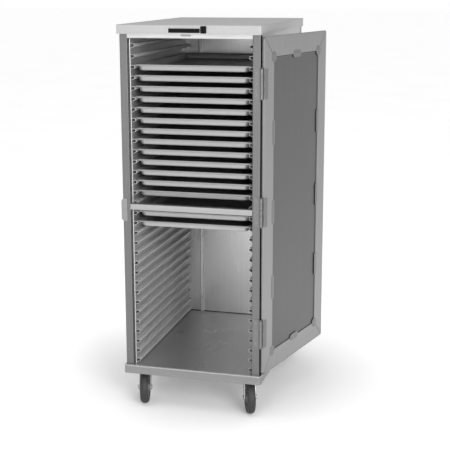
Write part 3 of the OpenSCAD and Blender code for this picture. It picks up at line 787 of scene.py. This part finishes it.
def clip(x, z, wide, tall):
    """An oval clip crowned towards its middle, with a rolled edge."""
    r = min(wide, tall) / 2
    section = [(1.0, flange_y + 0.02), (0.2, flange_y + 0.05), (0, flange_y + 0.35), (0.35, flange_y + 0.85),
               (1.3, flange_y + 1.0), (2.2, flange_y + 0.75), (3.2, flange_y + 0.8), (r * 0.62, flange_y + 1.2),
               (r - 1.0, flange_y + 1.3)]
    return round_the_edge(section, x - wide / 2, x + wide / 2, z - tall / 2, z + tall / 2,
                          lambda inset: r - inset, "y", 8, closed=False)


cx0, cx1, cz0, cz1 = door_low.x + FLANGE, door_high.x - FLANGE, door_low.z + FLANGE, door_high.z - FLANGE
shapes = []
for x in (cx0, cx1):
    shapes += [clip(x, z, *SIDE_CLIP) for z in SIDE_CLIPS] + [clip(x, z, *CORNER_CLIP) for z in (cz0, cz1)]
shapes += [clip((cx0 + cx1) / 2, z, *END_CLIP) for z in (cz0, cz1)]
# The clips' darker colour is painted shade for the shadow round each one
piece("door_clips", CLIP_PAINTED_SHADE, shapes, DOOR)

low, high = box_in("door_insulation", DOOR)
slab = rounded(low.x + 0.5, high.x - 0.5, low.z + 0.5, high.z - 0.5, 12, 5)
piece("door_insulation", WOOL, [prism(slab, low.y + 0.4, high.y - 0.4, "y", 0.6, 2)], DOOR)

# ---- latch ----

lever_at = DOOR.inverted() @ Vector(JOINT["latch_pull"]["pos_m"])
low, high = box_in("latch_housing", DOOR)
front, bottom, top = low.y, low.z, high.z
shapes = [prism(rounded(low.x, high.x, bottom, top, 7, 5), face_y - 5, face_y - 0.02, "y", 1.0, 2),
          prism(rounded(low.x, low.x + 6, bottom + 1, top - 1, 2.8, 5), front, face_y - 3, "y", 1.0, 2),
          prism(rounded(low.x + 1, high.x - 2, bottom, bottom + 8, 3.5, 5), front, face_y - 3, "y", 1.2, 2),
          prism(rounded(low.x + 1, high.x - 2, top - 8, top, 3.5, 5), front, face_y - 3, "y", 1.2, 2),
          moved(rod(3, bottom + 7, top - 7, 0.5, 20), at(lever_at.x, lever_at.y, 0))]
for z in (bottom + 15, top - 15):
    shapes.append(moved(screw_head(3.6, 1.4), at(high.x - 9, face_y - 5, z, "-y", random.uniform(0, 1.5))))
piece("latch_housing", HARDWARE, shapes, DOOR)

low, high = box_in("latch_lever", DOOR)
barrel = lathe([(3.1, low.z), (5.4, low.z), (5.9, low.z + 0.6), (6, low.z + 1.5), (6, high.z - 1.5),
                (5.9, high.z - 0.6), (5.4, high.z), (3.1, high.z)], 28)
paddle = [(low.x, lever_at.y - 1.6), (low.x + 1.2, lever_at.y - 2.8), (low.x + 6, lever_at.y - 3),
          (lever_at.x - 3, lever_at.y - 3), (lever_at.x - 3, lever_at.y + 1), (low.x + 8, lever_at.y + 0.6),
          (low.x + 1.2, lever_at.y + 0.9), (low.x, lever_at.y)]
shapes = [moved(barrel, at(lever_at.x, lever_at.y, 0)), prism(paddle, low.z + 0.5, high.z - 0.5, "z", 0.8, 2)]
# Grip ribs, which stand out of the paddle's face
RIBS, RIB_PITCH = 4, 4
for i in range(RIBS):
    x = low.x + 5 + i * RIB_PITCH
    rib = rounded(x - 0.9, x + 0.9, low.z + 8, high.z - 8, 0.85, 4)
    shapes.append(prism(rib, lever_at.y - 3.4, lever_at.y - 2.4, "y", 0, 1))
piece("latch_lever", HARDWARE, shapes, DOOR)

# ---- casters ----

WHEEL_R, TYRE_W, TRAIL, CROWN_Z = 63.5, 32, 36, 146
FORK_IN, FORK_T = TYRE_W / 2 + 3.2, 4
FORK_OUT = FORK_IN + FORK_T
FORK_BACK, FORK_FRONT = -22, 24             # ends of the crown, with the axle in front
BOSS_R = 13                                 # of the fork leg round the axle
PLATE_HALF, PLATE_T, BOLT_AT = 40, 3, 30
RACE_FOOT = 4.9                             # of the swivel race, above the crown
KING_R, AXLE_R, NUT_T = 6, 6, 4
SPOKES, SPOKE_HALF = 6, 1.6                 # ribs on each side of the hub, and half their thickness


def hexagon(radius, low, high):
    """A hexagon nut on Z, with its corners eased."""
    points = [(radius * math.cos(math.radians(60 * i)), radius * math.sin(math.radians(60 * i))) for i in range(6)]
    return prism(points, low, high, "z", min(0.7, (high - low) / 4), 2)


plate_top = box_in("caster_plates", CABINET)[1].z
under_plate = plate_top - PLATE_T
plate = rounded(-PLATE_HALF, PLATE_HALF, -PLATE_HALF, PLATE_HALF, 8, 5)
race = [(0, under_plate), (30, under_plate), (30, plate_top - 5), (29.2, plate_top - 7.4),
        (26.6, CROWN_Z + RACE_FOOT), (0, CROWN_Z + RACE_FOOT)]
shapes = []
for corner in CORNERS:
    king = CABINET.inverted() @ Vector(JOINT["caster_swivel_" + corner]["pos_m"])
    on_king = at(king.x, king.y, 0)
    shapes.append(prism([(king.x + a, king.y + b) for a, b in plate], under_plate, plate_top - 0.02, "z", 0.6, 2))
    shapes.append(moved(lathe(race, 48), on_king))
    shapes.append(moved(rod(KING_R, CROWN_Z - 0.4, CROWN_Z + RACE_FOOT, 0.1, 24), on_king))
    shapes.append(moved(hexagon(10, CROWN_Z - 0.4 - NUT_T, CROWN_Z - 0.4),
                        at(king.x, king.y, 0, turn=random.uniform(0, 1))))
    for dx in (-BOLT_AT, BOLT_AT):
        for dy in (-BOLT_AT, BOLT_AT):
            shapes.append(moved(hexagon(5.6, -2.8, 0),
                                at(king.x + dx, king.y + dy, under_plate, turn=random.uniform(0, 1))))
piece("caster_plates", ZINC, shapes)

# Side view of a fork leg from the crown down round the axle, as (x, z)
leg = [(FORK_BACK, CROWN_Z + 4.4), (FORK_BACK, CROWN_Z + 0.5)]
leg += [(TRAIL + BOSS_R * math.cos(math.radians(a)), WHEEL_R + BOSS_R * math.sin(math.radians(a)))
        for a in range(205, 376, 10)]
leg += [(FORK_FRONT, CROWN_Z + 0.5), (FORK_FRONT, CROWN_Z + 4.4)]
crown = [(6.2, CROWN_Z), (26.5, CROWN_Z), (27.6, CROWN_Z + 0.6), (28, CROWN_Z + 1.6), (28, CROWN_Z + 3.2),
         (27.2, CROWN_Z + 4.2), (26, CROWN_Z + 4.5), (6.2, CROWN_Z + 4.5)]
washer = [(0, -0.3), (11, -0.3), (11.3, 0.2), (11, 0.8), (0, 0.8)]
# Half sections of the hub and the tyre, each mirrored to give its other half
hub = [(6.1, -18.6), (14.6, -18.6), (15.6, -17.8), (16.2, -15.5), (17.4, -7.5), (20, -4.6), (38, -4.4),
       (41.2, -6.2), (42.2, -12.0), (43.4, -13.0), (46.2, -13.0)]
hub += [(r, -h) for r, h in reversed(hub)]
edge = -TYRE_W / 2
tread = [(46, edge + 2.6), (47, edge + 1.5), (51, edge + 0.5), (53.4, edge), (56.4, edge + 0.7), (58.8, edge + 2.2),
         (60.6, edge + 4.4), (61.9, edge + 7.0), (62.8, edge + 9.9), (63.3, edge + 12.8), (63.5, 0)]
tread += [(r, -h) for r, h in reversed(tread[:-1])]

for corner in CORNERS:
    place = caster_place(corner)
    shapes = [lathe(crown, 48),
              block((FORK_BACK, -FORK_OUT + 1.0, CROWN_Z), (FORK_FRONT, FORK_OUT - 1.0, CROWN_Z + 4.4), 0.8, 2)]
    for s, way in ((-1, "-y"), (1, "y")):
        y0, y1 = sorted((s * FORK_IN, s * FORK_OUT))
        shapes.append(prism(leg, y0, y1, "y", 1.1, 3))
        # The bend between the crown and the leg, then the washer, the nut and the end of the axle
        bend = [(s * (FORK_IN + 0.4), CROWN_Z + 0.2), (s * (FORK_IN - 2.6), CROWN_Z + 0.2),
                (s * (FORK_IN - 0.7), CROWN_Z - 0.7), (s * (FORK_IN + 0.1), CROWN_Z - 3.0),
                (s * (FORK_IN + 0.4), CROWN_Z - 3.4)]
        shapes.append(prism(bend, -20, 22, "x", 0, 1))
        shapes.append(moved(lathe(washer, 28), at(TRAIL, s * FORK_OUT, WHEEL_R, way)))
        shapes.append(moved(hexagon(8.9, 0.7, 4.6), at(TRAIL, s * FORK_OUT, WHEEL_R, way, 0.3)))
        shapes.append(moved(rod(4.2, 4.0, 5.0, 0.4, 20), at(TRAIL, s * FORK_OUT, WHEEL_R, way)))
    shapes.append(moved(rod(AXLE_R, -FORK_IN - 0.2, FORK_IN + 0.2, 0.1, 28), at(TRAIL, 0, WHEEL_R, "y")))
    piece("caster_fork_" + corner, ZINC, shapes, place)

    shapes = [moved(lathe(hub, 72), at(TRAIL, 0, WHEEL_R, "y"))]
    for i in range(SPOKES):
        for h0, h1 in ((-9.5, -3.5), (3.5, 9.5)):
            rib = block((15, -SPOKE_HALF, h0), (42, SPOKE_HALF, h1), 0.6, 2)
            shapes.append(moved(rib, at(TRAIL, 0, WHEEL_R, "y", math.radians(60 * i))))
    piece("wheel_hub_" + corner, HUB, shapes, place)
    piece("wheel_tyre_" + corner, TYRE, [moved(lathe(tread, 96), at(TRAIL, 0, WHEEL_R, "y"))], place, crease=45)

# ---- the filling inside the walls, which keeps its CAD mesh ----

mesh = frame["nodes"]["wall_insulation"].data
mesh.materials.clear()
mesh.materials.append(WOOL)

# ---- floor and light ----

FLOOR_HALF = 60
# The floor's own glow: low beside the object as a painted shadow, higher further out
PAINTED_SHADOW_GLOW, FLOOR_GLOW = 0.10, 0.45          # beside the object, and further out
GLOW_FROM, GLOW_TO = 0.32, 1.0              # metres from the middle over which it rises
DOME = 0.62

floor_mesh = bpy.data.meshes.new("floor")
floor_mesh.from_pydata([(-FLOOR_HALF, -FLOOR_HALF, 0), (FLOOR_HALF, -FLOOR_HALF, 0), (FLOOR_HALF, FLOOR_HALF, 0),
                        (-FLOOR_HALF, FLOOR_HALF, 0)], [], [(0, 1, 2, 3)])
floor = bpy.data.objects.new("floor", floor_mesh)
bpy.context.scene.collection.objects.link(floor)
material, tree, shader = node_tree("glowing floor with painted shadow")
mottle = spread(tree, noise(tree, (1.5, 1.5, 1.5), 3.0), 0.4, 0.6)
tree.links.new(grey(tree, mottle, 0.86), shader.inputs["Base Color"])
shader.inputs["Roughness"].default_value = 0.9
shader.inputs["Specular IOR Level"].default_value = 0.1
# The floor glows, though it is no lamp; its glow is dimmer round the object, a painted shadow, and pale further out
shader.inputs["Emission Color"].default_value = (1, 1, 1, 1)
distance = tree.nodes.new("ShaderNodeVectorMath")
distance.operation = "LENGTH"
tree.links.new(tree.nodes.new("ShaderNodeTexCoord").outputs["Object"], distance.inputs[0])
floor_glow_with_painted_shadow = spread(tree, distance.outputs["Value"], PAINTED_SHADOW_GLOW, FLOOR_GLOW, GLOW_FROM, GLOW_TO)
tree.links.new(floor_glow_with_painted_shadow, shader.inputs["Emission Strength"])
floor_mesh.materials.append(material)

world = bpy.data.worlds.new("studio")
bpy.context.scene.world = world
world.use_nodes = True
sky = world.node_tree
lit, seen = sky.nodes["Background"], sky.nodes.new("ShaderNodeBackground")
lit.inputs["Strength"].default_value = DOME
seen.inputs["Strength"].default_value = 1.0
for background in (lit, seen):
    background.inputs["Color"].default_value = (1, 1, 1, 1)
# The backdrop is white where it is seen, and dimmer as a light
ray, mix = sky.nodes.new("ShaderNodeLightPath"), sky.nodes.new("ShaderNodeMixShader")
sky.links.new(ray.outputs["Is Camera Ray"], mix.inputs["Fac"])
sky.links.new(lit.outputs["Background"], mix.inputs[1])
sky.links.new(seen.outputs["Background"], mix.inputs[2])
sky.links.new(mix.outputs["Shader"], sky.nodes["World Output"].inputs["Surface"])


def soft_light(name, where, aim, size, power):
    """A rectangular area light, in metres and watts."""
    light = bpy.data.objects.new(name, bpy.data.lights.new(name, "AREA"))
    light.data.shape = "RECTANGLE"
    light.data.size, light.data.size_y = size
    light.data.energy = power
    bpy.context.scene.collection.objects.link(light)
    light.location = where
    light.rotation_mode = "QUATERNION"
    light.rotation_quaternion = (Vector(aim) - Vector(where)).to_track_quat("-Z", "Y")


soft_light("key", (2.6, -3.8, 2.2), (-0.1, 0, 0.7), (2.0, 2.0), 130)
soft_light("front", (-1.1, -4.0, 1.15), (0, 0.2, 1.1), (1.8, 1.1), 13)
soft_light("top", (0, -0.4, 4.2), (0, 0, 0.5), (4.0, 4.0), 38)
bpy.context.scene.view_settings.view_transform = "Standard"
